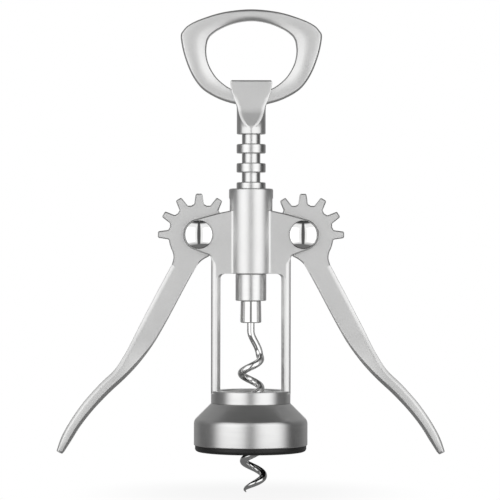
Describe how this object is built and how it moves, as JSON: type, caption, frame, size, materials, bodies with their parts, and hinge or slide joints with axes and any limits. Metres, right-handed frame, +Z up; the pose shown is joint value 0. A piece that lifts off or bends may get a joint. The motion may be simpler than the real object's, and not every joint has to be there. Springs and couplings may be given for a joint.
{
  "type": "wing corkscrew",
  "caption": "Wing corkscrew: ring handle with cap lifter, round rack, two geared wings, two-post frame, bell with black foot, wire worm.",
  "frame": {"origin": "centre of the annular seat that stops on the bottle's mouth, on the spindle's axis", "axes": "+Z up along the spindle, +X to the right wing, -Y to the front, where the domed pivot caps are"},
  "size_m": [0.1366, 0.0402, 0.1709],
  "materials": {
    "cast_alloy": "satin",
    "turned_steel": "satin",
    "brushed_shell": "satin",
    "chrome_steel": "polished",
    "plain_steel": "satin",
    "black_plastic": "matte"
  },
  "bodies": {
    "frame": {"frame": "cast_alloy", "bell": "brushed_shell", "neck_liner": "black_plastic", "bell_screws": "plain_steel", "left_pivot_pin": "plain_steel", "right_pivot_pin": "plain_steel", "left_pivot_cap": "chrome_steel", "right_pivot_cap": "chrome_steel", "left_front_washer": "plain_steel", "left_back_washer": "plain_steel", "right_front_washer": "plain_steel", "right_back_washer": "plain_steel"},
    "rack": {"rack_shaft": "turned_steel"},
    "spindle": {"handle": "cast_alloy", "spindle_rod": "plain_steel", "stop_collar": "turned_steel", "worm_collet": "chrome_steel", "worm": "chrome_steel"},
    "left_wing": {"left_lever": "cast_alloy"},
    "right_wing": {"right_lever": "cast_alloy"}
  },
  "joints": [
    {"name": "rack_slide", "type": "slide", "parent": "frame", "child": "rack", "axis": [0, 0, 1], "range_m": [-0.029, 0]},
    {"name": "handle_turn", "type": "hinge", "parent": "rack", "child": "spindle", "pos_m": [0, 0, 0.10142], "axis": [0, 0, 1], "continuous": true},
    {"name": "left_wing_pivot", "type": "hinge", "parent": "frame", "child": "left_wing", "pos_m": [-0.01839, 0, 0.06589], "axis": [0, 1, 0], "range_deg": [0, 129]},
    {"name": "right_wing_pivot", "type": "hinge", "parent": "frame", "child": "right_wing", "pos_m": [0.01839, 0, 0.06589], "axis": [0, -1, 0], "range_deg": [0, 129]}
  ],
  "couplings": [
    {"joint": "left_wing_pivot", "follows": "rack_slide", "rad_per_m": -77.57},
    {"joint": "right_wing_pivot", "follows": "rack_slide", "rad_per_m": -77.57}
  ]
}
